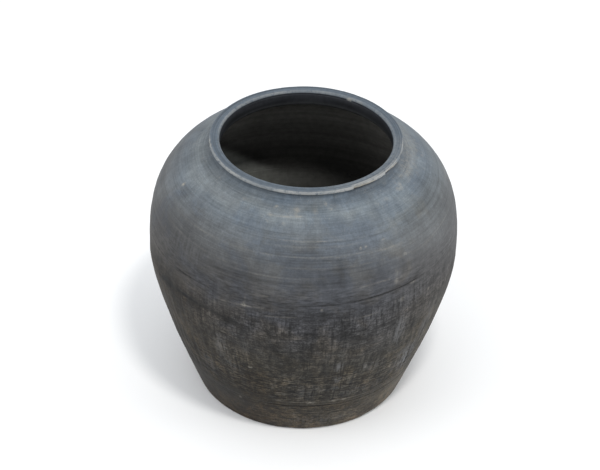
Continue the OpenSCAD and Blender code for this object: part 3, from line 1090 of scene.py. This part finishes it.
def with_marks(s, clay):
    """Lays the marks over the clay: dust on the shoulder, the listed pale ones, and the dark ones, which
    are soot, scratches, open joints and painted shade.
    """
    flecks = s.noise(3.0, 2.2, 3.0, 0.6)
    dust = s.times(s.span(flecks, 0.55, 0.75), s.span(s.arc, 0.3, 0.385))
    dust = s.times(dust, s.span(s.noise(40, 14, 2.0), 0.45, 0.65))
    frayed = s.times(s.field("pale"), s.span(flecks, 0.3, 0.62, 0.25, 1.25))
    clay = s.mix(s.line(frayed, 0.5, s.times(dust, 0.35), clamp=True), clay, CREAM)
    soot_and_shade = s.times(s.soot_and_shade, s.span(s.mottle, 0.3, 0.6, 0.45, 1.0))
    return s.mix(s.math("MULTIPLY", soot_and_shade, 0.75, clamp=True), clay, SOOT_AND_SHADE_COLOUR)


def inner_clay(s):
    """The inside: brown-black, paler towards the shoulder, grey in the neck, with painted shade down into
    the shoulder and a painted pool of light where light falls in through the mouth.
    """
    fired = s.times(s.span(s.arc, 0.236, 0.264, 0.75, 1.3), s.span(s.arc, 0.266, 0.318, 1.0, 2.1))
    fired = s.times(fired, s.span(s.aside, 0.07, 0.12, 1.0, 1.35))
    neck = s.span(s.arc, 0.35, 0.378)
    clay = s.mix(neck, s.toned(INNER_CLAY, fired), INNER_NECK)
    # Painted shade: darker down the inner neck and under the shoulder.
    clay = s.mix(s.times(s.span(s.arc, 0.414, 0.4), neck, 0.28), clay, SOOT_AND_SHADE_COLOUR)
    # Painted light: the pool of light through the mouth, and dust on the floor.
    clay = s.mix(s.dust, clay, INNER_DUST_AND_LIGHT_POOL)
    clay = s.mix(s.times(s.soot_and_shade, 0.9), clay, SOOT_AND_SHADE_COLOUR)
    return s.toned(clay, s.times(s.swing(s.mottle, 0.16), s.swing(s.bands, 0.16)))


def clay_material(name, gloss):
    s = ClayShader(name)
    inside = s.field("inside")
    colour = s.mix(inside, with_marks(s, with_lip(s, outer_clay(s))), inner_clay(s))
    rough = s.line(s.low, 0.1, s.line(s.mottle, 0.22, 0.46))
    rough = s.line(inside, 0.15, rough, clamp=True)
    height = s.times(s.rings, s.high, 0.8)
    height = s.line(s.times(s.strokes, s.low), 1.4, height)
    height = s.line(s.times(s.hatch, s.ticked), 0.8, height)
    height = s.line(s.grain, 0.3, height)
    relief = s.node("Bump", {"Height": height, "Strength": 0.6, "Distance": 0.3 * MM}).outputs[0]
    return s.finished({
        "Base Color": colour,
        "Roughness": rough,
        "Normal": relief,
        "Specular IOR Level": gloss,
    })


# ---- the jar


def build_jar():
    clays = clay_material("smoked_clay", 0.2), clay_material("inner_clay", 0.08)
    add_piece("base_slab", "scraped_clay", *base_rows(), clays, poles=True)
    add_piece("base_luting_coil", "inner_clay", *seal_rows(), clays)
    slots = ["scraped_clay"] * 3 + ["belly_clay"] * 2 + ["smoked_clay"] * 2
    for i, (node, slot) in enumerate(zip(COURSES, slots)):
        add_piece(node, slot, *course_rows(i), clays)
    add_piece("neck_coil", "smoked_clay", *neck_rows(), clays)
    add_piece("rim_band", "worn_clay", *lip_rows(), clays)


# ---- stage, light and camera

CAMERA_DISTANCE = 2.6
CAMERA_ELEVATION = math.radians(36.31)
CAMERA_ROLL = math.radians(1.68)
CAMERA_AIM = Vector((-0.0045, 0.0, 0.2145))
LENS_MM = 118.3
KEY_PLACE = Vector((0.45, -1.35, 3.09))
SIDE_PLACE = Vector((2.8, -0.3, 0.32))
FILL_PLACE = Vector((-2.3, -1.0, 2.0))


def plain_material(name, colour, roughness):
    return Shader(name).finished({"Base Color": colour, "Roughness": roughness})


def add_floor():
    half = 15.0
    corners = [(-half, -half, 0), (half, -half, 0), (half, half, 0), (-half, half, 0)]
    mesh = bpy.data.meshes.new("floor")
    mesh.from_pydata(corners, [], [(0, 1, 2, 3)])
    floor = bpy.data.objects.new("floor", mesh)
    mesh.materials.append(plain_material("pale_floor", (0.89, 0.89, 0.885, 1), 0.85))
    bpy.context.collection.objects.link(floor)


def looking(place, target, roll=0.0):
    """A transform at a place whose -Z points at the target, turned about that line by roll."""
    aim = (target - place).to_track_quat("-Z", "Y").to_matrix().to_4x4()
    return Matrix.Translation(place) @ aim @ Matrix.Rotation(roll, 4, "Z")


def add_area(name, place, width, height, power, colour):
    light = bpy.data.lights.new(name, "AREA")
    light.shape = "ELLIPSE"
    light.size = width
    light.size_y = height
    light.energy = power
    light.color = colour
    lamp = bpy.data.objects.new(name, light)
    lamp.matrix_world = looking(place, Vector((0, 0, 0.18)))
    bpy.context.collection.objects.link(lamp)


def add_light():
    """A pale room, a wide lamp high in front, a low one on the jar's right and a faint one on its left."""
    world = bpy.data.worlds.new("studio")
    world.use_nodes = True
    sky = world.node_tree.nodes["Background"]
    sky.inputs["Color"].default_value = (0.94, 0.965, 1.0, 1)
    sky.inputs["Strength"].default_value = 1.0
    bpy.context.scene.world = world
    add_area("key", KEY_PLACE, 0.5, 0.2, 38, (1.0, 0.99, 0.97))
    add_area("side", SIDE_PLACE, 1.0, 0.6, 30, (1.0, 0.98, 0.95))
    add_area("fill", FILL_PLACE, 2.0, 1.2, 16, (1.0, 1.0, 1.0))


def add_camera():
    centre = Vector((0, 0, 0.5 * cad_box[1][2]))
    back = Vector((0, -math.cos(CAMERA_ELEVATION), math.sin(CAMERA_ELEVATION)))
    camera = bpy.data.objects.new("camera", bpy.data.cameras.new("camera"))
    camera.data.lens = LENS_MM
    camera.data.clip_end = 60
    camera.matrix_world = looking(centre + CAMERA_DISTANCE * back, CAMERA_AIM, CAMERA_ROLL)
    bpy.context.collection.objects.link(camera)
    bpy.context.scene.camera = camera


build_jar()
add_floor()
add_light()
add_camera()
bpy.context.scene.view_settings.view_transform = "Standard"
